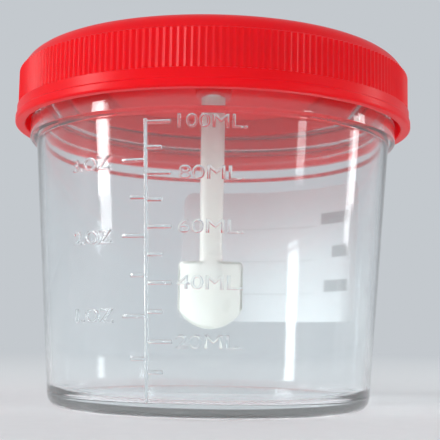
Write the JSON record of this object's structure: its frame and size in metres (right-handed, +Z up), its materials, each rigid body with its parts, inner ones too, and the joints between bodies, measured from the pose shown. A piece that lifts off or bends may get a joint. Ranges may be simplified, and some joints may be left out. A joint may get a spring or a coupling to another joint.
{
  "type": "specimen container",
  "caption": "Clear plastic specimen cup with moulded volume marks, a ribbed red screw cap, a white spoon held in the cap and a write-on label.",
  "frame": {"origin": "centre of the underside of the cup, on the surface that it stands on", "axes": "+Z up along the cup's axis, -Y towards the graduations, +X to the right as they are read"},
  "size_m": [0.0686, 0.0686, 0.0591],
  "materials": {
    "cup_clear": "clear, slightly milky moulded polypropylene",
    "cap_red": "opaque moulded polyethylene with a soft gloss",
    "spoon_white": "opaque moulded polypropylene with a soft gloss",
    "label_film": "matt write-on film"
  },
  "bodies": {
    "cup_body": {"cup": "cup_clear", "label": "label_film"},
    "cap_body": {"cap": "cap_red", "spoon": "spoon_white"}
  },
  "joints": [
    {"name": "cap_lift", "type": "slide", "parent": "cup_body", "child": "cap_body", "axis": [0, 0, 1], "range_m": [0, 0.05]}
  ]
}
